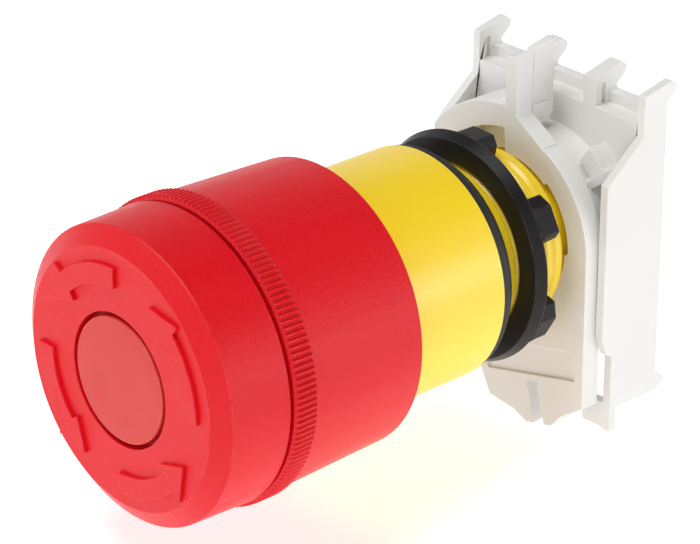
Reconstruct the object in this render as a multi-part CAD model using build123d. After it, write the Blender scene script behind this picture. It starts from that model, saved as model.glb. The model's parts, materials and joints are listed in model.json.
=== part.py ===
from build123d import *
import os
from math import atan2, cos, degrees, hypot, pi, radians, sin

# Panel-mounted emergency stop button with its fixing adapter, in millimetres.
# The front faces -Y and the axis runs along Y. The origin is the centre of the body's rear
# shoulder, where the panel seal sits. +Z is up and +X is to the right seen from the front.

# Red head
HEAD_TRAVEL = 5.0
FACE_Y = -47.0
FACE_R = 16.0
RIM_R = 18.3
RIM_Y = -45.4
CAP_REAR_Y = -37.1
CAP_REAR_R = 18.5
CAP_WALL = 2.0
CAP_FLOOR_Y = -43.2
RELIEF = 0.5
DISC_R = 7.75
DISC_GROOVE_R = 8.3
DISC_THICKNESS = 1.6
ARROW_IN_R = 11.7
ARROW_OUT_R = 14.25
ARROW_BARB_IN_R = 10.6
ARROW_BARB_OUT_R = 15.6
ARROW_TIP_R = 13.3
ARROW_BODY_ANGLE = 44.5
ARROW_BARB_ANGLE = 45.5
ARROW_TIP_ANGLE = 62.0

# Grip sleeve behind the cap
GRIP_Y = -36.6
KNURL_REAR_Y = -33.3
KNURL_ROOT_R = 18.6
KNURL_CREST_R = 19.0
KNURL_TEETH = 156
SKIRT_FRONT_R = 18.55
SKIRT_REAR_Y = -16.4
SKIRT_REAR_R = 18.0
SKIRT_BORE_R = 16.4
WEB_REAR_Y = -37.2
WEB_FRONT_Y = -38.8
SPIGOT_R = 16.3

# Cam sleeve that turns with the head
CAM_R = 6.2
CAM_FLANGE_R = 9.0
CAM_REAR_Y = -21.6
CAM_RAMP_DEPTH = 1.6
CAP_BOSS_R = 9.0
PLUG_REAR_Y = -39.4
SCREW_R = 1.5
SCREW_HEAD_R = 2.9
SCREW_HEAD_HEIGHT = 1.9
SCREW_TIP_Y = -39.8

# Push rod and its pawls
STEM_R = 3.5
STEM_FRONT_Y = -39.0
STEM_REAR_Y = 16.4
RUNNING = 0.05
CLIP_Y = -36.0
CLIP_WIDTH = 0.7
CARRIER_R = 8.2
CARRIER_FRONT_Y = -18.8
CARRIER_REAR_Y = -14.8
WASHER_THICKNESS = 0.5
PAWL_SIZE = 2.2
PAWL_Y = -16.8
PAWL_INNER_X = 4.2
PAWL_TIP_X = 9.9
PAWL_SPRING_R = 0.95
PAWL_SPRING_WIRE = 0.14

# Yellow housing
BODY_R = 14.85
BODY_BORE_R = 12.6
BODY_FRONT_Y = -31.0
SHOULDER_THICKNESS = 3.5
SHANK_R = 11.15
SHANK_BORE_R = 9.0
SHANK_REAR_Y = 13.5
GROOVE_Y = 11.9
THREAD_START_Y = 5.7
THREAD_END_Y = 10.6
THREAD_PITCH = 1.2
THREAD_DEPTH = 0.35
NECK_R = 9.1
NECK_BORE_R = 7.9
NECK_REAR_Y = 22.0
BAYONET_R = 10.15
BAYONET_Y = (18.0, 19.6)
BAYONET_CENTRES = (-3.0, 117.0, 237.0)
BAYONET_HALF_ANGLE = 18.0
KEY_WIDTH = 3.0
KEY_R = 12.7
KEY_LENGTH = 4.4
LATCH_RING_Y = (-21.6, -9.4)
LATCH_MOUTH_R = 10.1
LATCH_GROOVE_R = 11.5
FLANGE_Y = -4.6
BUSH_REAR_Y = 8.0
SEAL_THICKNESS = 2.4
LIP_R = 16.0
LIP_Y = (-29.6, -27.6)

# Ring nut
NUT_FRONT_Y = 5.55
NUT_FLANGE_Y = 7.3
NUT_CORE_REAR_Y = 9.0
NUT_REAR_Y = 10.3
NUT_FRONT_R = 14.35
NUT_FLANGE_R = 15.0
NUT_CORE_R = 12.65
NUT_LUG_R = 14.8
NUT_LUG_SHOULDER_R = 13.8
NUT_LUG_ROOT_R = 12.2
NUT_LUGS = 6
NUT_FIRST_LUG = 28.5
NUT_LUG_STEEP_ANGLE = 9.0
NUT_LUG_CREST_ANGLES = (-6.0, 7.5)
NUT_LUG_RAMP_ANGLE = 14.7

# Turning lock plate of the adapter
PLATE_Y = (15.0, 17.8)
PLATE_R = 13.6
PLATE_BORE_R = 9.85
PLATE_CUTOUT_R = 10.4
CUTOUT_CENTRES = (25.0, 145.0, 265.0)
CUTOUT_HALF_ANGLE = 27.0
LEVER_ANGLE = 14.0
LEVER_CORNER = (8.4, -23.1)
LEVER_STEP = (4.3, -24.6)
LEVER_END = (2.3, -26.1)
LEVER_SLOT_HALF = 0.9
LEVER_SLOT_TOP = -20.3
PANEL_HALF_WIDTH = 7.8
PANEL_TOP = -15.5
PANEL_BOTTOM = -19.4
PANEL_DEPTH = 0.4
SHOULDER_R = 16.2
SHOULDER_CENTRE_X = -0.8
SHOULDER_BORE_R = 13.2
SHOULDER_REAR_Y = 20.8
TAB_HALF = 1.0
TAB_TOP = 23.3
TAB_WALL_X = (-0.3, 0.9)
TAB_WALL_REAR_Y = 21.5
TAB_WALL_BOTTOM = 13.6
TAB_WALL_TOP = 24.1
NOTCH_DEPTH = 1.9
HUB_R = 11.1
HUB_BORE_R = 10.4
HUB_REAR_Y = 25.4
SNAP_R = 11.7

# Fixed frame of the adapter
FRAME_HALF = 15.0
WALL = 1.25
WEB_Y = (23.0, 24.6)
SHELF_Z = 16.2
WEB_BOTTOM_Z = -14.0
FRAME_REAR_Y = 27.0
COLLAR_BORE_R = 11.16
COLLAR_R = 12.1
COLLAR_FRONT_Y = 18.1
STOP_BLOCKS = (
    # start angle, end angle, outer radius, front y
    (41, 55, 14.7, 20.2),
    (36, 41, 15.0, 19.4),
    (129, 139, 14.7, 21.2),
)
FINGERS = ((-5.6, -3.6), (4.5, 6.6))
FINGER_FOOT_Z = 14.0
RIB_Y = (25.4, 27.0)
RIB_TOP_Z = 17.7
RIB_HEIGHT = 3.4
SIDE_SLOT_Y = (24.2, 24.9)
SIDE_SLOT_TOP_Z = 18.9
SIDE_SLOT_DEPTH = 0.5
FOOT_Y = (18.8, 20.0)
FOOT_INNER_X = 10.2
FOOT_TOP_Z = -20.6
FOOT_BOTTOM_Z = -24.4

# Actuator bridge at the rear of the stem
BRIDGE_Y = (12.0, 14.4)
BRIDGE_R = 7.6
BRIDGE_HUB_R = 5.0


def turned(*points):
    """Solid of revolution about the Y axis from (radius, y) points."""
    return revolve(make_face(Polyline(*points, close=True)), axis=Axis.Y)


def tube(outer, inner, front, rear):
    """Hollow cylinder along the Y axis."""
    return turned((inner, front), (outer, front), (outer, rear), (inner, rear))


def rod(radius, front, rear):
    """Solid cylinder along the Y axis."""
    return turned((0, front), (radius, front), (radius, rear), (0, rear))


def slab(sketch, front, rear):
    """Front-view sketch (x, z) extruded from y = front to y = rear."""
    return extrude(Plane.XZ.offset(-rear) * sketch, amount=rear - front)


def block(xs, ys, zs):
    """Box between the given pairs of limits."""
    middle = [(low + high) / 2 for low, high in (xs, ys, zs)]
    size = [high - low for low, high in (xs, ys, zs)]
    return Pos(*middle) * Box(*size)


def outline(*points):
    """Closed polygon face."""
    return make_face(Polyline(*points, close=True))


def polar(radius, angle):
    """Point at a radius and an angle in degrees."""
    return (radius * cos(radians(angle)), radius * sin(radians(angle)))


def sector(inner, outer, start, end):
    """Ring sector face between two angles."""
    outer_arc = CenterArc((0, 0), outer, start, end - start)
    inner_arc = CenterArc((0, 0), inner, start, end - start)
    sides = [Line(outer_arc @ 0, inner_arc @ 0), Line(outer_arc @ 1, inner_arc @ 1)]
    return make_face([outer_arc, inner_arc, *sides])


def centred_sector(inner, outer, middle, half_angle):
    """Ring sector face about a middle angle."""
    return sector(inner, outer, middle - half_angle, middle + half_angle)


def coil(mean_r, wire_r, front, rear, turns):
    """Helical spring about the Y axis, its wire between y = front and y = rear."""
    height = rear - front - 2 * wire_r
    start = (0, front + wire_r, 0)
    path = Helix(height / turns, height, mean_r, center=start, direction=(0, 1, 0))
    section = Plane(origin=path @ 0, z_dir=path % 0) * Circle(wire_r)
    return sweep(section, path=path, is_frenet=True)


def arrow():
    """One turn arrow of the cap's face, from angle 0 towards the tip."""
    band = sector(ARROW_IN_R, ARROW_OUT_R, 0, ARROW_BODY_ANGLE)
    head = outline(
        polar(ARROW_BARB_IN_R, ARROW_BARB_ANGLE - 1),
        polar(ARROW_BARB_OUT_R, ARROW_BARB_ANGLE - 1),
        polar(ARROW_TIP_R, ARROW_TIP_ANGLE),
    )
    return band + head


def head_cap():
    """Red front cap: face with rim chamfer, side wall, screw boss and four raised arrows."""
    inner = CAP_REAR_R - CAP_WALL
    seat_y = FACE_Y + DISC_THICKNESS
    shell = turned(
        (0, FACE_Y), (FACE_R, FACE_Y), (RIM_R, RIM_Y), (CAP_REAR_R, CAP_REAR_Y),
        (inner, CAP_REAR_Y), (inner, CAP_FLOOR_Y), (CAP_BOSS_R, CAP_FLOOR_Y),
        (CAP_BOSS_R, WEB_FRONT_Y), (CAM_R + RUNNING, WEB_FRONT_Y),
        (CAM_R + RUNNING, CAP_FLOOR_Y), (0, CAP_FLOOR_Y),
    )
    shell -= rod(DISC_GROOVE_R, FACE_Y, seat_y)
    shell -= rod(SCREW_R + RUNNING, FACE_Y, CAP_FLOOR_Y)
    shell -= rod(SCREW_HEAD_R + RUNNING, FACE_Y, seat_y + SCREW_HEAD_HEIGHT)
    arrows = [Rot(0, 0, 90 * quarter) * arrow() for quarter in range(4)]
    for mark in arrows:
        shell += slab(mark, FACE_Y - RELIEF, FACE_Y + RELIEF)
    return shell


def centre_disc():
    """Red disc in the cap's recess, with a broken edge."""
    edge = 0.25
    rear_y = FACE_Y + DISC_THICKNESS
    return turned(
        (0, FACE_Y), (DISC_R - edge, FACE_Y), (DISC_R, FACE_Y + edge), (DISC_R, rear_y), (0, rear_y)
    )


def cap_screw():
    """Pan-head screw from the cap into the cam sleeve's plug, with a cross recess."""
    seat_y = FACE_Y + DISC_THICKNESS
    floor_y = seat_y + SCREW_HEAD_HEIGHT
    screw = rod(SCREW_HEAD_R, seat_y + RUNNING, floor_y) + rod(SCREW_R, floor_y, SCREW_TIP_Y)
    arm, width, depth = 1.7, 0.7, 1.0
    for xs, zs in (((-arm, arm), (-width / 2, width / 2)), ((-width / 2, width / 2), (-arm, arm))):
        screw -= block(xs, (seat_y, seat_y + depth), zs)
    return screw


def knurl():
    """Ring of fine straight teeth."""
    step = 2 * pi / KNURL_TEETH
    points = []
    for tooth in range(KNURL_TEETH):
        for radius, share in ((KNURL_ROOT_R, 0.0), (KNURL_CREST_R, 0.35), (KNURL_CREST_R, 0.65)):
            angle = (tooth + share) * step
            points.append((radius * cos(angle), radius * sin(angle)))
    return slab(outline(*points), GRIP_Y, KNURL_REAR_Y)


def grip_sleeve():
    """Red skirt: knurled ring in front, tapered tube behind, web and spigot inside."""
    shell = turned(
        (CAM_R + RUNNING, WEB_FRONT_Y + RUNNING), (SPIGOT_R, WEB_FRONT_Y + RUNNING),
        (SPIGOT_R, GRIP_Y), (KNURL_ROOT_R, GRIP_Y), (KNURL_ROOT_R, KNURL_REAR_Y),
        (SKIRT_FRONT_R, KNURL_REAR_Y), (SKIRT_REAR_R, SKIRT_REAR_Y),
        (SKIRT_BORE_R, SKIRT_REAR_Y), (SKIRT_BORE_R, GRIP_Y), (SPIGOT_R - CAP_WALL, WEB_REAR_Y),
        (CAM_R + RUNNING, WEB_REAR_Y),
    )
    return shell + (knurl() - rod(SKIRT_BORE_R + 1, GRIP_Y, KNURL_REAR_Y))


def cam_sleeve():
    """Sleeve fixed to the cap: screw plug, clamping flange, bore, clip groove, cam ramps."""
    bore = STEM_R + RUNNING
    flange_rear = WEB_REAR_Y + RUNNING + 1.2
    sleeve = turned(
        (0, CAP_FLOOR_Y + RUNNING), (CAM_R, CAP_FLOOR_Y + RUNNING), (CAM_R, WEB_REAR_Y + RUNNING),
        (CAM_FLANGE_R, WEB_REAR_Y + RUNNING), (CAM_FLANGE_R, flange_rear), (CAM_R, flange_rear),
        (CAM_R, CAM_REAR_Y), (bore, CAM_REAR_Y), (bore, PLUG_REAR_Y), (0, PLUG_REAR_Y),
    )
    groove_rear = CLIP_Y + CLIP_WIDTH + 2 * RUNNING
    sleeve -= tube(STEM_R + 1.1, STEM_R, CLIP_Y - 2 * RUNNING, groove_rear)
    sleeve -= rod(SCREW_R, CAP_FLOOR_Y, PLUG_REAR_Y)
    for middle in (0, 180):
        ramp = centred_sector(STEM_R, CAM_R + 1, middle, 40)
        sleeve -= slab(ramp, CAM_REAR_Y - CAM_RAMP_DEPTH, CAM_REAR_Y)
    return sleeve


def stem_clip():
    """Split snap ring between the stem's groove and the cam sleeve's groove."""
    ring = tube(STEM_R + 0.9, STEM_R - 0.5, CLIP_Y, CLIP_Y + CLIP_WIDTH)
    return ring - block((-0.8, 0.8), (CLIP_Y, CLIP_Y + CLIP_WIDTH), (0, STEM_R + 2))


def thrust_washer():
    """Steel washer between the cam sleeve and the pawl carrier."""
    front = CARRIER_FRONT_Y - RUNNING - WASHER_THICKNESS
    return tube(CAM_R + 0.8, STEM_R + RUNNING, front, front + WASHER_THICKNESS)


def stem():
    """Push rod with the pawl carrier, grooves for the two clips and a cross bore."""
    shaft = rod(STEM_R, STEM_FRONT_Y, STEM_REAR_Y)
    shaft += rod(CARRIER_R, CARRIER_FRONT_Y, CARRIER_REAR_Y)
    shaft -= tube(STEM_R + 1, STEM_R - 0.55, CLIP_Y - RUNNING, CLIP_Y + CLIP_WIDTH + RUNNING)
    clip_front = BRIDGE_Y[1] + RUNNING
    shaft -= tube(STEM_R + 1, STEM_R - 0.55, clip_front, clip_front + CLIP_WIDTH + 2 * RUNNING)
    half = PAWL_SIZE / 2 + RUNNING
    mid = (PAWL_Y - half, PAWL_Y + half)
    for side in (-1, 1):
        xs = sorted((side * (PAWL_INNER_X - 0.6), side * (CARRIER_R + 1)))
        shaft -= block(xs, mid, (-half, half))
    shaft -= Pos(0, PAWL_Y, 0) * Rot(0, 90, 0) * Cylinder(PAWL_SPRING_R + 0.15, 2 * PAWL_INNER_X)
    return shaft


def pawl(side):
    """Latch pawl with a bevelled tip, on the side given by its sign."""
    half = PAWL_SIZE / 2
    bevel = 0.7
    profile = outline(
        (PAWL_INNER_X, PAWL_Y - half), (PAWL_TIP_X - bevel, PAWL_Y - half), (PAWL_TIP_X, PAWL_Y),
        (PAWL_TIP_X - bevel, PAWL_Y + half), (PAWL_INNER_X, PAWL_Y + half),
    )
    body = extrude(profile, amount=half, both=True)
    return body if side > 0 else mirror(body, about=Plane.YZ)


def pawl_spring():
    """Small coil between the two pawls, through the stem's cross bore."""
    length = 2 * (PAWL_INNER_X - RUNNING)
    spring = coil(PAWL_SPRING_R - PAWL_SPRING_WIRE, PAWL_SPRING_WIRE, -length / 2, length / 2, 9)
    return Pos(0, PAWL_Y, 0) * Rot(0, 0, 90) * spring


def housing():
    """Yellow moulding: body tube, shoulder, threaded shank, bayonet neck, key and seal groove."""
    edge = 0.3
    body = turned(
        (BODY_BORE_R, BODY_FRONT_Y), (BODY_R - edge, BODY_FRONT_Y), (BODY_R, BODY_FRONT_Y + edge),
        (BODY_R, -edge), (BODY_R - edge, 0), (SHANK_R, 0), (SHANK_R, SHANK_REAR_Y - edge),
        (SHANK_R - edge, SHANK_REAR_Y), (NECK_R, SHANK_REAR_Y), (NECK_R, NECK_REAR_Y),
        (NECK_BORE_R, NECK_REAR_Y), (NECK_BORE_R, BUSH_REAR_Y), (SHANK_BORE_R, BUSH_REAR_Y),
        (SHANK_BORE_R, -SHOULDER_THICKNESS), (BODY_BORE_R, -SHOULDER_THICKNESS),
    )
    grooves = int((THREAD_END_Y - THREAD_START_Y) / THREAD_PITCH) + 1
    for turn in range(grooves):
        body -= thread_groove(THREAD_START_Y + turn * THREAD_PITCH)
    body -= thread_groove(GROOVE_Y)
    body -= tube(BODY_R + 1, BODY_R - 0.6, LIP_Y[0] + 0.3, LIP_Y[1] - 0.3)
    body += seal_key()
    for middle in BAYONET_CENTRES:
        lug = centred_sector(NECK_R - 0.5, BAYONET_R, middle, BAYONET_HALF_ANGLE)
        body += slab(lug, *BAYONET_Y)
    return body


def thread_groove(y):
    """V-groove cutter round the shank at y."""
    half = THREAD_PITCH / 3
    return turned((SHANK_R + 0.2, y - half), (SHANK_R - THREAD_DEPTH, y), (SHANK_R + 0.2, y + half))


def seal_key():
    """Anti-turn key under the shank, for the notch of the panel hole."""
    half = KEY_WIDTH / 2
    return block((-half, half), (0, KEY_LENGTH), (-KEY_R, 1 - SHANK_R))


def panel_seal():
    """Black rubber seal behind the body, with a notch for the key."""
    inner = SHANK_R + 0.1
    ring = turned(
        (inner, 0), (BODY_R - 0.3, 0), (BODY_R - 0.2, 0.9), (BODY_R - 0.9, 1.9),
        (BODY_R - 1.35, SEAL_THICKNESS), (inner, SEAL_THICKNESS),
    )
    half = KEY_WIDTH / 2 + RUNNING
    return ring - block((-half, half), (0, SEAL_THICKNESS), (-KEY_R - RUNNING, 1 - SHANK_R))


def latch_ring():
    """Ring in the body whose flared bore takes the pawls as the head goes in."""
    front, rear = LATCH_RING_Y
    mouth_end = PAWL_Y + 1
    flare_end = mouth_end + HEAD_TRAVEL
    return turned(
        (LATCH_MOUTH_R, front), (BODY_BORE_R, front), (BODY_BORE_R, rear),
        (LATCH_GROOVE_R, rear), (LATCH_GROOVE_R, flare_end), (LATCH_MOUTH_R, mouth_end),
    )


def guide_bush():
    """Plain bearing of the stem in the shank, with a flange for the return spring."""
    bore = STEM_R + RUNNING
    return turned(
        (bore, FLANGE_Y), (BODY_BORE_R, FLANGE_Y), (BODY_BORE_R, -SHOULDER_THICKNESS),
        (SHANK_BORE_R, -SHOULDER_THICKNESS), (SHANK_BORE_R, BUSH_REAR_Y), (bore, BUSH_REAR_Y),
    )


def lip_seal():
    """Rubber ring in the body's front groove, with a lip towards the skirt."""
    groove_front, groove_rear = LIP_Y[0] + 0.3, LIP_Y[1] - 0.3
    return turned(
        (BODY_R - 0.6, groove_front), (BODY_R, groove_front), (LIP_R, LIP_Y[0]),
        (LIP_R, LIP_Y[0] + 0.6), (BODY_R + 0.4, groove_rear), (BODY_R - 0.6, groove_rear),
    )


def nut_lug(middle):
    """Front view of one lug: steep on one side, a long ramp on the other."""
    steep = middle - NUT_LUG_STEEP_ANGLE
    ramp = middle + NUT_LUG_RAMP_ANGLE
    crest = [polar(NUT_LUG_R, middle + turn) for turn in NUT_LUG_CREST_ANGLES]
    return outline(
        polar(NUT_LUG_ROOT_R, steep), polar(NUT_LUG_SHOULDER_R, steep), *crest,
        polar(NUT_LUG_SHOULDER_R, ramp), polar(NUT_LUG_ROOT_R, ramp),
    )


def ring_nut():
    """Black nut: conical front flange, short core and six tapered lugs behind the flange."""
    bore = SHANK_R + RUNNING
    chamfer = 0.4
    edge = 0.3
    nut = turned(
        (bore + chamfer, NUT_FRONT_Y), (NUT_FRONT_R, NUT_FRONT_Y),
        (NUT_FLANGE_R, NUT_FLANGE_Y - edge), (NUT_FLANGE_R - edge, NUT_FLANGE_Y),
        (NUT_CORE_R, NUT_FLANGE_Y), (NUT_CORE_R, NUT_CORE_REAR_Y),
        (bore, NUT_CORE_REAR_Y), (bore, NUT_FRONT_Y + chamfer),
    )
    spacing = 360 / NUT_LUGS
    for lug in range(NUT_LUGS):
        face = nut_lug(NUT_FIRST_LUG + spacing * lug)
        nut += slab(face, NUT_FLANGE_Y - 0.5, NUT_REAR_Y)
    return nut


def lever_face():
    """Front view of the lever, pointing down, tangent to the plate's ring."""
    corner_x, corner_z = LEVER_CORNER
    reach = hypot(corner_x, corner_z)
    tangent = (reach**2 - PLATE_R**2) ** 0.5
    touch_angle = degrees(atan2(corner_z, corner_x) + atan2(tangent, PLATE_R))
    touch_x, touch_z = polar(PLATE_R, touch_angle)
    right = [(touch_x, touch_z), LEVER_CORNER, LEVER_STEP, LEVER_END]
    left = [(-x, z) for x, z in reversed(right)]
    slot = Pos(0, LEVER_SLOT_TOP - 5) * Rectangle(2 * LEVER_SLOT_HALF, 10)
    return outline(*right, *left) - slot


def shoulder_face():
    """Front view of the rounded shoulder left of the pointer tab."""
    disc = Pos(SHOULDER_CENTRE_X, 0) * Circle(SHOULDER_R)
    left = -PLATE_R
    return disc & outline((left, 0), (TAB_HALF, 0), (TAB_HALF, TAB_TOP), (left, TAB_TOP))


def lock_plate():
    """Turning plate: ring, lever, shoulder, pointer tab, bayonet cut-outs, hub with snap lips."""
    turn = Rot(0, 0, LEVER_ANGLE)
    front, rear = PLATE_Y
    shoulder = shoulder_face()
    diagonal = outline((TAB_HALF, 15.2), (5.6, 12.4), (0, 9.0), (-TAB_HALF, 12.0))
    tab = outline((-TAB_HALF, 10), (TAB_HALF, 10), (TAB_HALF, TAB_TOP), (-TAB_HALF, TAB_TOP - 0.6))
    ring = Circle(PLATE_R) + turn * lever_face() + shoulder + diagonal + tab
    bore = Circle(PLATE_BORE_R)
    for middle in CUTOUT_CENTRES:
        bore += centred_sector(PLATE_BORE_R - 1, PLATE_CUTOUT_R, middle, CUTOUT_HALF_ANGLE)
    plate = slab(ring - bore, front, rear)
    plate += slab(shoulder - Circle(SHOULDER_BORE_R), rear, SHOULDER_REAR_Y)
    panel_size = (2 * PANEL_HALF_WIDTH, PANEL_TOP - PANEL_BOTTOM)
    panel = Pos(0, (PANEL_TOP + PANEL_BOTTOM) / 2) * Rectangle(*panel_size)
    plate -= slab(turn * panel, front, front + PANEL_DEPTH)
    notch = sector(PLATE_BORE_R - 1, SHOULDER_BORE_R, 94.8, 122)
    plate -= slab(notch, front, front + NOTCH_DEPTH)
    return plate + tab_wall() + lock_hub()


def tab_wall():
    """Deep wall behind the pointer tab, set back a little from the tab's side."""
    front = PLATE_Y[1] - RUNNING
    profile = outline(
        (front, TAB_WALL_BOTTOM), (front, TAB_TOP), (TAB_WALL_REAR_Y, TAB_WALL_TOP),
        (TAB_WALL_REAR_Y, TAB_WALL_BOTTOM + 0.6), (TAB_WALL_REAR_Y - 0.6, TAB_WALL_BOTTOM),
    )
    left, right = TAB_WALL_X
    return extrude(Plane.YZ.offset(left) * profile, amount=right - left)


def lock_hub():
    """Hub that turns in the frame's collar, with three snap lips behind the web."""
    hub = tube(HUB_R, HUB_BORE_R, PLATE_Y[1] - RUNNING, HUB_REAR_Y)
    for middle in (30, 150, 270):
        lip = centred_sector(HUB_BORE_R, SNAP_R, middle, 16)
        hub += slab(lip, WEB_Y[1] + 0.15, HUB_REAR_Y)
        for edge in (-19, 19):
            relief = centred_sector(HUB_BORE_R - 1, HUB_R + 1, middle + edge, 1.5)
            hub -= slab(relief, WEB_Y[0], HUB_REAR_Y)
    return hub


def side_wall(side):
    """Side wall with its sloped front edge, top hook, bottom hook and inward foot."""
    profile = outline(
        (16.95, -10.8), (16.95, 9.8), (22.95, 14.6), (22.95, 20.0), (27.6, 21.0), (28.6, 20.2),
        (28.2, 19.2), (FRAME_REAR_Y, 18.2), (FRAME_REAR_Y, -18.6), (28.6, -19.8), (28.6, -20.5),
        (27.2, -21.2), (FOOT_Y[1], -21.2), (FOOT_Y[1], FOOT_BOTTOM_Z), (FOOT_Y[0], FOOT_BOTTOM_Z),
        (FOOT_Y[0], -13.7), (17.9, -13.3),
    )
    wall = extrude(Plane.YZ.offset(FRAME_HALF - WALL) * profile, amount=WALL)
    foot = block((FOOT_INNER_X, FRAME_HALF - WALL + 0.1), FOOT_Y, (FOOT_BOTTOM_Z + 0.2, FOOT_TOP_Z))
    slot_xs = (FRAME_HALF - WALL - 0.1, FRAME_HALF - WALL + SIDE_SLOT_DEPTH)
    solid = wall + foot - block(slot_xs, SIDE_SLOT_Y, (SHELF_Z, SIDE_SLOT_TOP_Z))
    return solid if side > 0 else mirror(solid, about=Plane.YZ)


def finger(left, right):
    """Upper hook finger between two bays, with a slot in each side."""
    profile = outline(
        (WEB_Y[0], FINGER_FOOT_Z), (WEB_Y[0], 19.9), (27.6, 21.0), (28.6, 20.2), (28.2, 19.2),
        (FRAME_REAR_Y, 18.2), (FRAME_REAR_Y, FINGER_FOOT_Z),
    )
    prong = extrude(Plane.YZ.offset(left) * profile, amount=right - left)
    for xs in ((left - 1, left + SIDE_SLOT_DEPTH), (right - SIDE_SLOT_DEPTH, right + 1)):
        prong -= block(xs, SIDE_SLOT_Y, (SHELF_Z, SIDE_SLOT_TOP_Z))
    return prong


def bay_ribs():
    """Ribs behind the web that the contact blocks clip to, along its top and bottom edges."""
    inner = FRAME_HALF - WALL / 2
    top = block((-inner, inner), RIB_Y, (RIB_TOP_Z - RIB_HEIGHT, RIB_TOP_Z))
    shelf = block((-inner, inner), (WEB_Y[0], RIB_Y[1]), (SHELF_Z - 1.4, SHELF_Z))
    bottom = block((-inner, inner), (WEB_Y[0], RIB_Y[1]), (WEB_BOTTOM_Z, WEB_BOTTOM_Z + 1.4))
    return top + shelf + bottom


def collar_blocks():
    """Stop blocks outside the collar, on both sides of the top."""
    stops = None
    for start, end, outer, front in STOP_BLOCKS:
        stop = slab(sector(COLLAR_R - 0.5, outer, start, end), front, WEB_Y[0] + 0.2)
        stops = stop if stops is None else stops + stop
    return stops


def adapter_frame():
    """Fixed frame: two side walls, web with collar, upper fingers, ribs, stop blocks and feet."""
    inner = FRAME_HALF - WALL / 2
    web = block((-inner, inner), WEB_Y, (WEB_BOTTOM_Z, SHELF_Z))
    collar = tube(COLLAR_R, COLLAR_BORE_R, COLLAR_FRONT_Y, WEB_Y[1])
    frame = web + bay_ribs() + collar + collar_blocks()
    for left, right in FINGERS:
        frame += finger(left, right)
    frame += side_wall(1)
    frame += side_wall(-1)
    return frame - rod(COLLAR_BORE_R, COLLAR_FRONT_Y - 1, FRAME_REAR_Y + 1)


def actuator_bridge():
    """Rear plate on the stem that presses the contact plungers, with a hub and three ribs."""
    bore = STEM_R + 0.02
    front, rear = BRIDGE_Y
    plate = tube(BRIDGE_R, bore, front, front + 1.2) + tube(BRIDGE_HUB_R, bore, front, rear)
    for middle in (0, 60, 120, 180, 240, 300):
        rib = block((BRIDGE_HUB_R - 0.5, BRIDGE_R - 0.2), (front, rear - 0.4), (-0.5, 0.5))
        plate += Rot(0, middle, 0) * rib
    return plate


def bridge_clip():
    """Open spring clip behind the bridge, in the stem's groove."""
    front = BRIDGE_Y[1] + 2 * RUNNING
    ring = tube(STEM_R + 1.1, STEM_R - 0.5, front, front + CLIP_WIDTH)
    return ring - block((-1.6, 1.6), (front, front + CLIP_WIDTH), (0, STEM_R + 2))


def return_spring():
    """Compression coil between the pawl carrier and the bush flange."""
    return coil(6.2, 0.55, CARRIER_REAR_Y + RUNNING, FLANGE_Y - RUNNING, 4)


def twist_spring():
    """Torsion coil around the cam sleeve."""
    return coil(7.3, 0.45, WEB_REAR_Y + 1.5, -24.0, 8)


NODES = {
    "head_cap": head_cap,
    "centre_disc": centre_disc,
    "cap_screw": cap_screw,
    "grip_sleeve": grip_sleeve,
    "cam_sleeve": cam_sleeve,
    "stem": stem,
    "stem_clip": stem_clip,
    "thrust_washer": thrust_washer,
    "twist_spring": twist_spring,
    "return_spring": return_spring,
    "pawl_left": lambda: pawl(-1),
    "pawl_right": lambda: pawl(1),
    "pawl_spring": pawl_spring,
    "actuator_bridge": actuator_bridge,
    "bridge_clip": bridge_clip,
    "housing": housing,
    "latch_ring": latch_ring,
    "guide_bush": guide_bush,
    "lip_seal": lip_seal,
    "panel_seal": panel_seal,
    "ring_nut": ring_nut,
    "lock_plate": lock_plate,
    "adapter_frame": adapter_frame,
}

os.makedirs("parts", exist_ok=True)
for name, build in NODES.items():
    export_step(build(), f"parts/{name}.step")
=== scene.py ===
import json
from math import cos, pi, radians, sin, tan

import bmesh
import bpy
from mathutils import Matrix, Vector


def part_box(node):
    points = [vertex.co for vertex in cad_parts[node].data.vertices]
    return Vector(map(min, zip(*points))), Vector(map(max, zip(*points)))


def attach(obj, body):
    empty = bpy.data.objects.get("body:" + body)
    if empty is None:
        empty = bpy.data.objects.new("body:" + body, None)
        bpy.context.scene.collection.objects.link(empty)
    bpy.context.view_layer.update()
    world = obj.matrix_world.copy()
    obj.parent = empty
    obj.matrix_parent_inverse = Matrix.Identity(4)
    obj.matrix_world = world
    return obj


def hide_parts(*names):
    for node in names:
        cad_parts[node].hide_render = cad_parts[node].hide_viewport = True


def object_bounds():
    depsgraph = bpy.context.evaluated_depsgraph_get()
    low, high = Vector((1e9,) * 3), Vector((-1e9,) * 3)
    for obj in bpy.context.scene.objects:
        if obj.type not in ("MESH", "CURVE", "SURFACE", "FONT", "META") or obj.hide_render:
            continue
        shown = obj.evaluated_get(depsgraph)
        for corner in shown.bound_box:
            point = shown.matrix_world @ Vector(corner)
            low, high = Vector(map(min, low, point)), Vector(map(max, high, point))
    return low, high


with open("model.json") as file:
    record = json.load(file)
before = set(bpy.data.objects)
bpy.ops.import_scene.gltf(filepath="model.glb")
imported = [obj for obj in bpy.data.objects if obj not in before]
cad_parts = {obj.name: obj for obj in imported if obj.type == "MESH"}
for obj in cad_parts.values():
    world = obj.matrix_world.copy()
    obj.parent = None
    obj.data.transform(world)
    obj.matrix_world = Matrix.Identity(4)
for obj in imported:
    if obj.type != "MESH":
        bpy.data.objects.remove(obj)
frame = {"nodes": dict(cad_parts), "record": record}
cad_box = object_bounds()

# Meshes are drawn in millimetres and scaled to metres when they are finished. The front faces
# -Y, the axis runs along Y, +Z is up and +X is to the right seen from the front.
MM = 0.001
ROUND = 240
ARC_STEPS = 5


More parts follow.
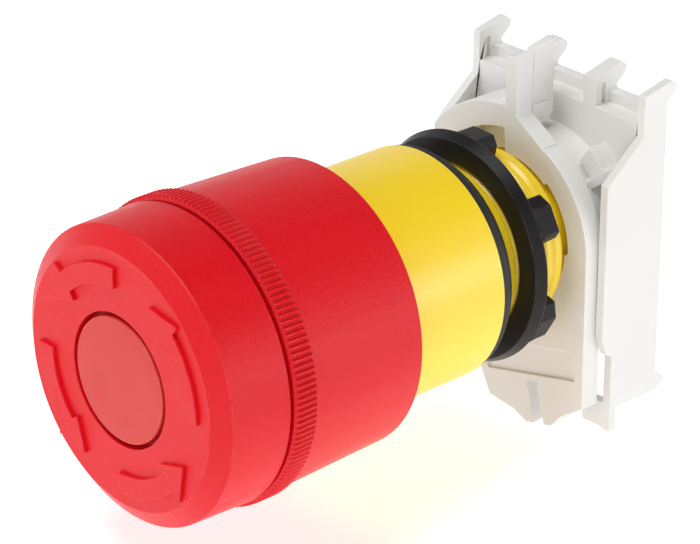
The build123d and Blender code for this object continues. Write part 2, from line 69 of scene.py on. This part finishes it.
def limits(node):
    """Lowest and highest corner of a CAD node in millimetres."""
    low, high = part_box(node)
    return low / MM, high / MM


# ---------------------------------------------------------------- materials


class Shader:
    """A material with one principled shader, and short calls for its nodes."""

    def __init__(self, name, roughness, **sockets):
        self.material = bpy.data.materials.new(name)
        self.material.use_nodes = True
        self.tree = self.material.node_tree
        self.bsdf = self.tree.nodes["Principled BSDF"]
        self.bsdf.inputs["Roughness"].default_value = roughness
        for socket, value in sockets.items():
            self.bsdf.inputs[socket.replace("_", " ")].default_value = value
        self.place = self.add("ShaderNodeTexCoord").outputs["Object"]

    def add(self, kind, settings=None, **sockets):
        node = self.tree.nodes.new(kind)
        for key, value in (settings or {}).items():
            setattr(node, key, value)
        for name, value in sockets.items():
            self.put(node.inputs[name.replace("_", " ")], value)
        return node

    def put(self, socket, value):
        if isinstance(value, bpy.types.NodeSocket):
            self.tree.links.new(value, socket)
        else:
            socket.default_value = value

    def noise(self, scale, detail=2.0, roughness=0.5, stretch=None):
        vector = self.place
        if stretch:
            mapping = self.add("ShaderNodeMapping", Vector=vector, Scale=stretch)
            vector = mapping.outputs[0]
        node = self.add(
            "ShaderNodeTexNoise", Vector=vector, Scale=scale, Detail=detail, Roughness=roughness
        )
        return node.outputs[0]

    def span(self, value, low, high, to_low=0.0, to_high=1.0):
        node = self.add("ShaderNodeMapRange", Value=value)
        for name, number in (
            ("From Min", low), ("From Max", high), ("To Min", to_low), ("To Max", to_high)
        ):
            node.inputs[name].default_value = number
        return node.outputs[0]

    def times(self, a, b):
        node = self.add("ShaderNodeMath", {"operation": "MULTIPLY"})
        self.put(node.inputs[0], a)
        self.put(node.inputs[1], b)
        return node.outputs[0]

    def plus(self, a, b):
        node = self.add("ShaderNodeMath", {"operation": "ADD"})
        self.put(node.inputs[0], a)
        self.put(node.inputs[1], b)
        return node.outputs[0]

    def mix(self, share, a, b):
        node = self.add("ShaderNodeMix", {"data_type": "RGBA"})
        self.put(node.inputs[0], share)
        self.put(node.inputs[6], a)
        self.put(node.inputs[7], b)
        return node.outputs[2]

    def specks(self, scale, size):
        """Sparse round dots, 1 inside a dot."""
        cells = self.add("ShaderNodeTexVoronoi", Vector=self.place, Scale=scale)
        return self.span(cells.outputs["Distance"], size, size * 0.6)

    def edge_wear_and_highlight(self):
        """1 on the rounded edges of the built meshes, broken up by noise; used for edge wear and a
        painted edge highlight.
        """
        edge = self.add("ShaderNodeAttribute", {"attribute_name": "edge"}).outputs["Fac"]
        return self.times(edge, self.span(self.noise(420, 3.0), 0.35, 0.7))

    def bump(self, layers):
        """Stacks (height, distance in metres, strength) layers into the shader's normal."""
        normal = None
        for height, distance, strength in layers:
            node = self.add("ShaderNodeBump", Height=height, Distance=distance, Strength=strength)
            if normal is not None:
                self.tree.links.new(normal, node.inputs["Normal"])
            normal = node.outputs[0]
        self.tree.links.new(normal, self.bsdf.inputs["Normal"])

    def colour(self, value):
        self.put(self.bsdf.inputs["Base Color"], value)

    def roughness(self, value):
        self.put(self.bsdf.inputs["Roughness"], value)


def rgb(red, green, blue):
    return (red, green, blue, 1.0)


def moulded(
    name, base, shade, worn_and_highlight, roughness, grain=5200, depth=0.5, height=0.000022, dust=0.25, **sockets
):
    """Injection-moulded plastic: spark-eroded grain, slow colour drift, edges painted paler as wear
    and as a painted highlight, dust.
    """
    s = Shader(name, roughness, **sockets)
    drift = s.span(s.noise(70, 3.0), 0.25, 0.75)
    fine = s.noise(grain, 3.0, 0.6)
    colour = s.mix(drift, base, shade)
    colour = s.mix(s.span(fine, 0.62, 0.85, 0.0, 0.10), colour, worn_and_highlight)
    edge_wear_and_highlight = s.edge_wear_and_highlight()
    # Rounded edges painted paler: part edge wear, part painted highlight.
    colour = s.mix(s.times(edge_wear_and_highlight, 0.35), colour, worn_and_highlight)
    dots = s.times(s.specks(650, 0.09), s.span(s.noise(90), 0.55, 0.72, 0.0, dust))
    colour = s.mix(dots, colour, worn_and_highlight)
    s.colour(colour)
    scuff = s.span(s.noise(300, 4.0, 0.6, (1.0, 0.16, 1.0)), 0.3, 0.75, -0.05, 0.06)
    s.roughness(s.plus(s.plus(scuff, s.times(edge_wear_and_highlight, 0.06)), roughness))
    s.bump([(s.noise(140, 2.0), 0.00001, 0.25), (fine, height, depth), (dots, 0.00002, 0.3)])
    return s.material


def rubber(name, base, worn_and_highlight):
    """Matt rubber with a dry bloom, and edges painted paler as wear and as a painted highlight."""
    s = Shader(name, 0.62)
    bloom = s.span(s.noise(160, 4.0, 0.65), 0.42, 0.75)
    colour = s.mix(s.times(bloom, 0.35), base, worn_and_highlight)
    # Edges painted paler: part wear, part painted highlight.
    s.colour(s.mix(s.times(s.edge_wear_and_highlight(), 0.5), colour, worn_and_highlight))
    s.roughness(s.span(bloom, 0.0, 1.0, 0.56, 0.7))
    s.bump([(s.noise(3800, 3.0, 0.6), 0.00002, 0.45)])
    return s.material


def metal(name, base, shade, roughness, stretch):
    """Drawn or plated metal with fine lines along its working direction."""
    s = Shader(name, roughness, Metallic=1.0)
    lines = s.noise(2600, 3.0, 0.6, stretch)
    s.colour(s.mix(s.span(s.noise(210, 3.0), 0.3, 0.7), base, shade))
    s.roughness(s.span(lines, 0.3, 0.7, roughness - 0.06, roughness + 0.08))
    s.bump([(lines, 0.000008, 0.4)])
    return s.material


RED = moulded(
    "red_moulded", rgb(0.74, 0.004, 0.012), rgb(0.72, 0.003, 0.011), rgb(0.86, 0.10, 0.10), 0.40,
    grain=3000, depth=1.0, height=0.00006, Specular_IOR_Level=0.28,
)
DISC = moulded(
    "disc_moulded", rgb(0.66, 0.028, 0.020), rgb(0.62, 0.020, 0.015), rgb(0.80, 0.16, 0.12), 0.46,
    depth=0.3,
)
YELLOW = moulded(
    "yellow_moulded", rgb(1.0, 0.71, 0.012), rgb(0.99, 0.695, 0.010), rgb(1.0, 0.78, 0.20), 0.34,
    grain=4200, depth=0.16, Specular_IOR_Level=0.9,
)
BLACK = moulded(
    "black_moulded", rgb(0.009, 0.008, 0.008), rgb(0.015, 0.013, 0.013), rgb(0.09, 0.08, 0.08), 0.40,
    grain=3600, depth=0.45, dust=0.5, Specular_IOR_Level=0.22,
)
GREY = moulded(
    "grey_moulded", rgb(0.84, 0.83, 0.81), rgb(0.81, 0.80, 0.77), rgb(0.91, 0.91, 0.89), 0.42,
    grain=4200, depth=0.2,
)
WHITE = moulded(
    "white_moulded", rgb(0.84, 0.84, 0.81), rgb(0.80, 0.80, 0.77), rgb(0.92, 0.92, 0.90), 0.35,
    grain=4200, depth=0.2,
)
DARK = moulded(
    "dark_moulded", rgb(0.035, 0.035, 0.04), rgb(0.05, 0.05, 0.055), rgb(0.16, 0.16, 0.17), 0.42,
    grain=3600, depth=0.3,
)
RUBBER = rubber("seal_rubber", rgb(0.012, 0.011, 0.011), rgb(0.055, 0.052, 0.050))
SPRING = metal("spring_wire", rgb(0.60, 0.60, 0.62), rgb(0.50, 0.50, 0.52), 0.24, (1.0, 0.1, 1.0))
ZINC = metal("zinc_plate", rgb(0.72, 0.73, 0.76), rgb(0.62, 0.64, 0.66), 0.32, (1.0, 1.0, 0.15))

SLOT_MATERIAL = {
    "red_plastic": RED, "disc_plastic": DISC, "yellow_plastic": YELLOW, "black_plastic": BLACK,
    "black_rubber": RUBBER, "grey_plastic": GREY, "white_plastic": WHITE, "dark_plastic": DARK,
    "spring_steel": SPRING, "zinc_steel": ZINC,
}
NODE_SLOT = {part["node"]: part["material_slot"] for part in frame["record"]["subparts"]}
NODE_BODY = {
    node: body
    for body, members in frame["record"]["behaviour"]["bodies"].items()
    for node in members
}

# ---------------------------------------------------------------- mesh helpers


def rounded(profile):
    """Closed (radius, y, fillet) profile as (radius, y, corner) points; corner is -1 off a fillet."""
    out = []
    for index, (radius, y, fillet) in enumerate(profile):
        here = Vector((radius, y))
        if fillet <= 0:
            out.append((radius, y, -1))
            continue
        before = Vector(profile[index - 1][:2]) - here
        after = Vector(profile[(index + 1) % len(profile)][:2]) - here
        half = before.angle(after) / 2
        cut = min(fillet / tan(half), 0.45 * before.length, 0.45 * after.length)
        size = cut * tan(half)
        centre = here + (before.normalized() + after.normalized()).normalized() * size / sin(half)
        start = here + before.normalized() * cut - centre
        sweep = start.angle_signed(here + after.normalized() * cut - centre)
        for step in range(ARC_STEPS + 1):
            turn = Matrix.Rotation(-sweep * step / ARC_STEPS, 2)
            point = centre + turn @ start
            out.append((point.x, point.y, index))
    return out


def lathe(profile, count=ROUND, radius_at=None):
    """Solid of revolution about Y. radius_at(radius, y, turn share) can shape a ring."""
    bm = bmesh.new()
    edge = bm.faces.layers.float.new("edge")
    points = rounded(profile)
    rings = []
    for radius, y, _ in points:
        if radius < 1e-6:
            rings.append([bm.verts.new((0.0, y, 0.0))] * count)
            continue
        ring = []
        for step in range(count):
            angle = 2 * pi * step / count
            r = radius_at(radius, y, step / count) if radius_at else radius
            ring.append(bm.verts.new((r * cos(angle), y, r * sin(angle))))
        rings.append(ring)
    for index, ring in enumerate(rings):
        other = rings[(index + 1) % len(rings)]
        soft = points[index][2] >= 0 and points[index][2] == points[(index + 1) % len(rings)][2]
        for step in range(count):
            after = (step + 1) % count
            corners = []
            for vert in (ring[step], ring[after], other[after], other[step]):
                if vert not in corners:
                    corners.append(vert)
            if len(corners) > 2:
                bm.faces.new(corners)[edge] = 1.0 if soft else 0.0
    return bm


def prism(points, front, rear):
    """Front-view outline (x, z) between two y values."""
    bm = bmesh.new()
    bm.faces.layers.float.new("edge")
    near = [bm.verts.new((x, front, z)) for x, z in points]
    far = [bm.verts.new((x, rear, z)) for x, z in points]
    bm.faces.new(near)
    bm.faces.new(far)
    for index in range(len(points)):
        after = (index + 1) % len(points)
        bm.faces.new((near[index], near[after], far[after], far[index]))
    bmesh.ops.recalc_face_normals(bm, faces=bm.faces)
    return bm


def polar(radius, angle):
    return (radius * cos(radians(angle)), radius * sin(radians(angle)))


def ring_sector(inner, outer, start, end, steps=24):
    turns = [start + (end - start) * step / steps for step in range(steps + 1)]
    return [polar(outer, a) for a in turns] + [polar(inner, a) for a in reversed(turns)]


def temporary(bm):
    mesh = bpy.data.meshes.new("temporary")
    bmesh.ops.recalc_face_normals(bm, faces=bm.faces)
    bm.to_mesh(mesh)
    bm.free()
    obj = bpy.data.objects.new("temporary", mesh)
    bpy.context.scene.collection.objects.link(obj)
    return obj


def combine(base, others, operation="UNION"):
    """Exact boolean of one mesh with several."""
    target = temporary(base)
    tools = [temporary(other) for other in others]
    for tool in tools:
        cut = target.modifiers.new("combine", "BOOLEAN")
        cut.operation = operation
        cut.solver = "EXACT"
        cut.object = tool
    graph = bpy.context.evaluated_depsgraph_get()
    made = bpy.data.meshes.new_from_object(target.evaluated_get(graph))
    bm = bmesh.new()
    bm.from_mesh(made)
    for obj in (target, *tools):
        bpy.data.objects.remove(obj)
    if "edge" not in bm.faces.layers.float:
        bm.faces.layers.float.new("edge")
    return bm


def soften(bm, edges, size, segments=3):
    """Rounds these edges, and marks the new faces as edge faces."""
    layer = bm.faces.layers.float["edge"]
    made = bmesh.ops.bevel(
        bm, geom=edges, offset=size, offset_type="OFFSET", segments=segments, profile=0.5,
        affect="EDGES", clamp_overlap=False,
    )
    for face in made["faces"]:
        face[layer] = 1.0


def from_cad(node):
    """The CAD node's own shape as a clean mesh with flat faces in one piece."""
    bm = bmesh.new()
    bm.from_mesh(frame["nodes"][node].data)
    bm.transform(Matrix.Scale(1 / MM, 4))
    bmesh.ops.remove_doubles(bm, verts=bm.verts, dist=0.0006)
    bmesh.ops.dissolve_degenerate(bm, edges=bm.edges, dist=0.0006)
    bmesh.ops.dissolve_limit(
        bm, angle_limit=radians(0.5), verts=bm.verts, edges=bm.edges, use_dissolve_boundaries=False
    )
    bm.faces.layers.float.new("edge")
    return bm


def sharp_edges(bm, degrees=28, keep=lambda edge: True):
    return [
        edge
        for edge in bm.edges
        if len(edge.link_faces) == 2 and edge.calc_face_angle(0) > radians(degrees) and keep(edge)
    ]


def piece(name, bm, nodes, material=None, crease=32):
    """Finishes a mesh as the shown piece that stands for these CAD nodes."""
    bmesh.ops.recalc_face_normals(bm, faces=bm.faces)
    bm.transform(Matrix.Scale(MM, 4))
    mesh = bpy.data.meshes.new(name)
    bm.to_mesh(mesh)
    bm.free()
    for polygon in mesh.polygons:
        polygon.use_smooth = True
    mesh.set_sharp_from_angle(angle=radians(crease))
    mesh.materials.clear()
    mesh.materials.append(material or SLOT_MATERIAL[NODE_SLOT[nodes[0]]])
    obj = bpy.data.objects.new(name, mesh)
    bpy.context.scene.collection.objects.link(obj)
    weighted = obj.modifiers.new("weighted_normals", "WEIGHTED_NORMAL")
    weighted.keep_sharp = True
    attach(obj, NODE_BODY[nodes[0]])
    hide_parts(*nodes)
    return obj


# ---------------------------------------------------------------- red head

FACE_Y = limits("centre_disc")[0].y
CAP_REAR_Y = limits("head_cap")[1].y
DISC_R = limits("centre_disc")[1].x
DISC_REAR_Y = limits("centre_disc")[1].y
ARROW_RISE = FACE_Y - limits("head_cap")[0].y


def arrow_outline(start):
    """One turn arrow: a curved band and a pointed head, running anticlockwise."""
    band_end = start + 44.5
    outer = [polar(14.25, start + 43.5 * step / 20) for step in range(21)]
    inner = [polar(11.7, start + 43.5 * step / 20) for step in range(20, -1, -1)]
    head = [polar(15.6, band_end), polar(13.3, start + 62), polar(10.6, band_end)]
    return outer + head + inner


def build_cap():
    floor_y = FACE_Y + 3.8
    bm = lathe([
        (1.55, floor_y - 0.3, 0), (1.55, floor_y, 0), (6.25, floor_y, 0), (6.25, floor_y + 4.4, 0.1),
        (9.0, floor_y + 4.4, 0.1), (9.0, floor_y, 0.3), (16.5, floor_y, 0.8),
        (16.5, CAP_REAR_Y, 0.1), (18.5, CAP_REAR_Y, 0.22), (18.3, FACE_Y + 1.6, 0.3),
        (16.0, FACE_Y, 0.4), (DISC_R + 0.55, FACE_Y, 0.1), (DISC_R + 0.55, DISC_REAR_Y, 0),
        (2.95, DISC_REAR_Y, 0), (2.95, floor_y - 0.3, 0),
    ])
    arrows = [
        prism(arrow_outline(quarter * 90), FACE_Y - ARROW_RISE, FACE_Y + 0.6) for quarter in range(4)
    ]
    bm = combine(bm, arrows)
    top = FACE_Y - ARROW_RISE * 0.7
    rims = sharp_edges(bm, 40, lambda edge: all(vert.co.y < top for vert in edge.verts))
    soften(bm, rims, 0.11)
    piece("cap", bm, ["head_cap"])


def build_disc():
    piece("disc", lathe([
        (0, FACE_Y, 0), (2.6, FACE_Y, 0), (5.2, FACE_Y, 0), (DISC_R, FACE_Y, 0.22),
        (DISC_R, DISC_REAR_Y, 0.05), (0, DISC_REAR_Y, 0),
    ]), ["centre_disc"])


KNURL_TEETH = 156
TOOTH_STEPS = 6
TOOTH_SHAPE = (0.0, 0.55, 1.0, 1.0, 0.55, 0.0)
KNURL_ROOT = 18.6
KNURL_CREST = 19.0
GRIP_Y = -36.6
KNURL_END_Y = -33.3


def tooth_radius(radius, y, turn):
    """Radius on the knurled band, rising and falling with each tooth."""
    if not GRIP_Y + 0.05 < y < KNURL_END_Y - 0.05 or radius < KNURL_CREST - 0.01:
        return radius
    share = turn * KNURL_TEETH % 1.0
    low = TOOTH_SHAPE[int(round(share * TOOTH_STEPS)) % TOOTH_STEPS]
    return KNURL_ROOT + (radius - KNURL_ROOT) * low


def build_grip():
    rear = limits("grip_sleeve")[1].y
    piece("grip", lathe([
        (6.25, -38.75, 0), (16.3, -38.75, 0.1), (16.3, GRIP_Y, 0), (18.45, GRIP_Y, 0.06),
        (KNURL_ROOT, GRIP_Y + 0.1, 0), (KNURL_CREST, GRIP_Y + 0.34, 0),
        (KNURL_CREST, KNURL_END_Y - 0.34, 0), (KNURL_ROOT, KNURL_END_Y - 0.06, 0),
        (18.55, KNURL_END_Y, 0), (18.0, rear, 0.3), (16.4, rear, 0.15), (16.4, GRIP_Y, 0.3),
        (14.3, -37.2, 0.2), (6.25, -37.2, 0),
    ], KNURL_TEETH * TOOTH_STEPS, tooth_radius), ["grip_sleeve"], crease=50)


# ---------------------------------------------------------------- yellow housing and black rings

BODY_R = 14.85
SHANK_R = 11.15
THREAD_PITCH = 1.2
GROOVE_DEPTH = 0.35
KEY_HALF = 1.5
KEY_R = 12.7
KEY_ROOT_R = 10.3
CLEARANCE = 0.05


def groove(y, depth):
    half = THREAD_PITCH / 3
    return [
        (SHANK_R, y - half, 0.05), (SHANK_R - depth, y, 0.06), (SHANK_R, y + half, 0.05)
    ]


def key_block(clearance, front, rear):
    """Anti-turn key under the shank, grown by a clearance for its notch."""
    half = KEY_HALF + clearance
    bottom = -KEY_R - clearance
    corners = [(-half, bottom), (half, bottom), (half, -KEY_ROOT_R), (-half, -KEY_ROOT_R)]
    return prism(corners, front, rear)


def build_housing():
    front = limits("housing")[0].y
    neck_rear = limits("housing")[1].y
    profile = [
        (12.6, front, 0.15), (BODY_R, front, 0.3), (BODY_R, -29.3, 0.05), (BODY_R - 0.6, -29.3, 0),
        (BODY_R - 0.6, -27.9, 0), (BODY_R, -27.9, 0.05), (BODY_R, 0, 0.22), (SHANK_R, 0, 0.1),
    ]
    for turn in range(5):
        profile += groove(5.7 + turn * THREAD_PITCH, GROOVE_DEPTH)
    profile += groove(11.9, GROOVE_DEPTH)
    profile += [
        (SHANK_R, 13.5, 0.28), (9.1, 13.5, 0.2), (9.1, neck_rear, 0.15), (7.9, neck_rear, 0.1),
        (7.9, 8.0, 0), (9.0, 8.0, 0), (9.0, -3.5, 0), (12.6, -3.5, 0.2),
    ]
    bm = lathe(profile)
    key = key_block(0, -0.2, 4.4)
    lugs = [
        prism(ring_sector(8.7, 10.15, middle - 18, middle + 18), 18.0, 19.6)
        for middle in (-3, 117, 237)
    ]
    piece("housing_shell", combine(bm, [key, *lugs]), ["housing"])


def build_seal():
    ring = lathe([
        (11.25, 0, 0), (14.55, 0, 0.06), (14.65, 0.9, 0.3), (13.95, 1.9, 0.3), (13.5, 2.4, 0.18),
        (11.25, 2.4, 0.1),
    ])
    notch = key_block(CLEARANCE, -1, 4)
    piece("seal", combine(ring, [notch], "DIFFERENCE"), ["panel_seal"])


NUT_CORE_R = 12.65
NUT_CORE_REAR_Y = 9.0
NUT_LUGS = 6
FIRST_LUG = 28.5
LUG_FRONT_Y = 6.9
LUG_ROOT_R = 12.2
LUG_SHOULDER_R = 13.8
LUG_CREST_R = 14.8


def nut_lug(middle, rear):
    """One tapered lug: steep on one side, a long ramp on the other."""
    corners = (
        (LUG_ROOT_R, -9.0), (LUG_SHOULDER_R, -9.0), (LUG_CREST_R, -6.0),
        (LUG_CREST_R, 7.5), (LUG_SHOULDER_R, 14.7), (LUG_ROOT_R, 14.7),
    )
    return prism([polar(radius, middle + turn) for radius, turn in corners], LUG_FRONT_Y, rear)


def build_nut():
    front, rear = limits("ring_nut")[0].y, limits("ring_nut")[1].y
    bore = SHANK_R + CLEARANCE
    ring = lathe([
        (bore + 0.4, front, 0), (14.35, front, 0.18), (15.0, 7.0, 0.2), (14.7, 7.3, 0.12),
        (NUT_CORE_R, 7.3, 0.15), (NUT_CORE_R, NUT_CORE_REAR_Y, 0.22),
        (bore, NUT_CORE_REAR_Y, 0.12), (bore, front + 0.4, 0),
    ])
    spacing = 360 / NUT_LUGS
    bm = combine(ring, [nut_lug(FIRST_LUG + spacing * lug, rear) for lug in range(NUT_LUGS)])
    outer = sharp_edges(
        bm, 24, lambda edge: all((v.co.x**2 + v.co.z**2) ** 0.5 > 13.0 for v in edge.verts)
    )
    soften(bm, outer, 0.24)
    piece("nut", bm, ["ring_nut"])


# ---------------------------------------------------------------- adapter and inner pieces


def on_tab_step(point):
    """True at the shallow step between the pointer tab and the deep wall behind it."""
    return abs(point.x) < 1.1 and 17.6 < point.y < 17.9 and point.z > 13.4


def rounds(edge):
    """True for an outer corner that isn't on the shallow step."""
    return edge.is_convex and not any(on_tab_step(v.co) for v in edge.verts)


def build_from_cad():
    """Pieces that keep the CAD shape, with their sharp edges rounded."""
    for node, size in (
        ("lock_plate", 0.13), ("adapter_frame", 0.13), ("actuator_bridge", 0.08), ("stem", 0.06),
        ("guide_bush", 0.08), ("pawl_left", 0.08), ("pawl_right", 0.08), ("cam_sleeve", 0.08),
    ):
        bm = from_cad(node)
        if node == "lock_plate":
            line = prism([(0.72, 13.7), (1.2, 13.7), (1.2, 23.7), (0.72, 23.7)], 17.7, 17.86)
            bm = combine(bm, [line], "DIFFERENCE")
        bmesh.ops.recalc_face_normals(bm, faces=bm.faces)
        soften(bm, sharp_edges(bm, 28, rounds), size, 2)
        piece(f"{node}_body", bm, [node])


def dress_cad_nodes():
    """Procedural materials for every CAD node that is still shown."""
    for node, obj in frame["nodes"].items():
        if obj.hide_render:
            continue
        obj.data.materials.clear()
        obj.data.materials.append(SLOT_MATERIAL[NODE_SLOT[node]])
        for polygon in obj.data.polygons:
            polygon.material_index = 0


build_cap()
build_disc()
build_grip()
build_housing()
build_seal()
build_nut()
build_from_cad()
dress_cad_nodes()

# ---------------------------------------------------------------- stage, lights, camera


SWEEP_LIGHT = 0.72
CEILING_LIGHT = 0.08
FLOOR_GLOW = 0.6
TOP_POWER = 2.9
BACK_RIGHT_POWER = 0.7
FRONT_POWER = 0.35


def build_floor():
    half = 4.0
    bm = bmesh.new()
    corners = [(-half, -half), (half, -half), (half, half), (-half, half)]
    bm.faces.new([bm.verts.new((x, y, cad_box[0].z - 0.0004)) for x, y in corners])
    mesh = bpy.data.meshes.new("floor")
    bm.to_mesh(mesh)
    bm.free()
    s = Shader("floor_paper", 0.7, Emission_Color=rgb(1.0, 1.0, 1.0), Emission_Strength=FLOOR_GLOW)
    s.colour(s.mix(s.noise(30, 2.0), rgb(0.93, 0.93, 0.93), rgb(0.95, 0.95, 0.95)))
    s.bump([(s.noise(900, 2.0), 0.00002, 0.1)])
    mesh.materials.append(s.material)
    floor = bpy.data.objects.new("floor", mesh)
    bpy.context.scene.collection.objects.link(floor)


def area_light(name, place, aim, size, power):
    data = bpy.data.lights.new(name, "AREA")
    data.shape = "RECTANGLE"
    data.size, data.size_y = size
    data.energy = power
    obj = bpy.data.objects.new(name, data)
    obj.location = place
    obj.rotation_euler = (Vector(aim) - Vector(place)).to_track_quat("-Z", "Y").to_euler()
    bpy.context.scene.collection.objects.link(obj)


def build_world():
    """Pale sweep up to a low height, and a dark ceiling above it."""
    world = bpy.data.worlds.new("studio")
    world.use_nodes = True
    tree = world.node_tree
    place = tree.nodes.new("ShaderNodeTexCoord")
    split = tree.nodes.new("ShaderNodeSeparateXYZ")
    tree.links.new(place.outputs["Generated"], split.inputs[0])
    strength = tree.nodes.new("ShaderNodeMapRange")
    strength.interpolation_type = "SMOOTHSTEP"
    tree.links.new(split.outputs["Z"], strength.inputs["Value"])
    for name, number in (
        ("From Min", 0.42), ("From Max", 0.74), ("To Min", SWEEP_LIGHT), ("To Max", CEILING_LIGHT)
    ):
        strength.inputs[name].default_value = number
    background = tree.nodes["Background"]
    background.inputs["Color"].default_value = rgb(1.0, 1.0, 1.0)
    tree.links.new(strength.outputs[0], background.inputs["Strength"])
    bpy.context.scene.world = world


CAMERA_TARGET = (0.0, -0.030, 0.0)
CAMERA_DISTANCE = 0.394316
CAMERA_SHIFT = (0.013679, 0.007451)


def build_camera():
    """Camera at the photograph's viewing angle, as a fitted place and turn."""
    azimuth, elevation, roll = radians(47.783), radians(25.746), radians(0.192)
    back = Vector(
        (sin(azimuth) * cos(elevation), -cos(azimuth) * cos(elevation), sin(elevation))
    )
    right = Vector((cos(azimuth), sin(azimuth), 0.0))
    up = back.cross(right)
    side = right * cos(roll) + up * sin(roll)
    top = -right * sin(roll) + up * cos(roll)
    place = Vector(CAMERA_TARGET) + back * CAMERA_DISTANCE
    place += side * CAMERA_SHIFT[0] + top * CAMERA_SHIFT[1]
    data = bpy.data.cameras.new("camera")
    data.sensor_width = 36.0
    data.lens = 173.7
    data.clip_start, data.clip_end = 0.01, 20.0
    camera = bpy.data.objects.new("camera", data)
    camera.matrix_world = Matrix((
        (side.x, top.x, back.x, place.x), (side.y, top.y, back.y, place.y),
        (side.z, top.z, back.z, place.z), (0, 0, 0, 1),
    ))
    bpy.context.scene.collection.objects.link(camera)
    bpy.context.scene.camera = camera


build_floor()
build_world()
AIM = (0.0, -0.015, 0.0)
area_light("top", (-0.02, -0.20, 0.66), AIM, (0.36, 0.36), TOP_POWER)
area_light("back_right", (0.52, 0.30, 0.04), AIM, (0.30, 0.26), BACK_RIGHT_POWER)
area_light("front", (-0.30, -0.66, 0.24), AIM, (0.30, 0.30), FRONT_POWER)
build_camera()
bpy.context.scene.view_settings.view_transform = "Standard"
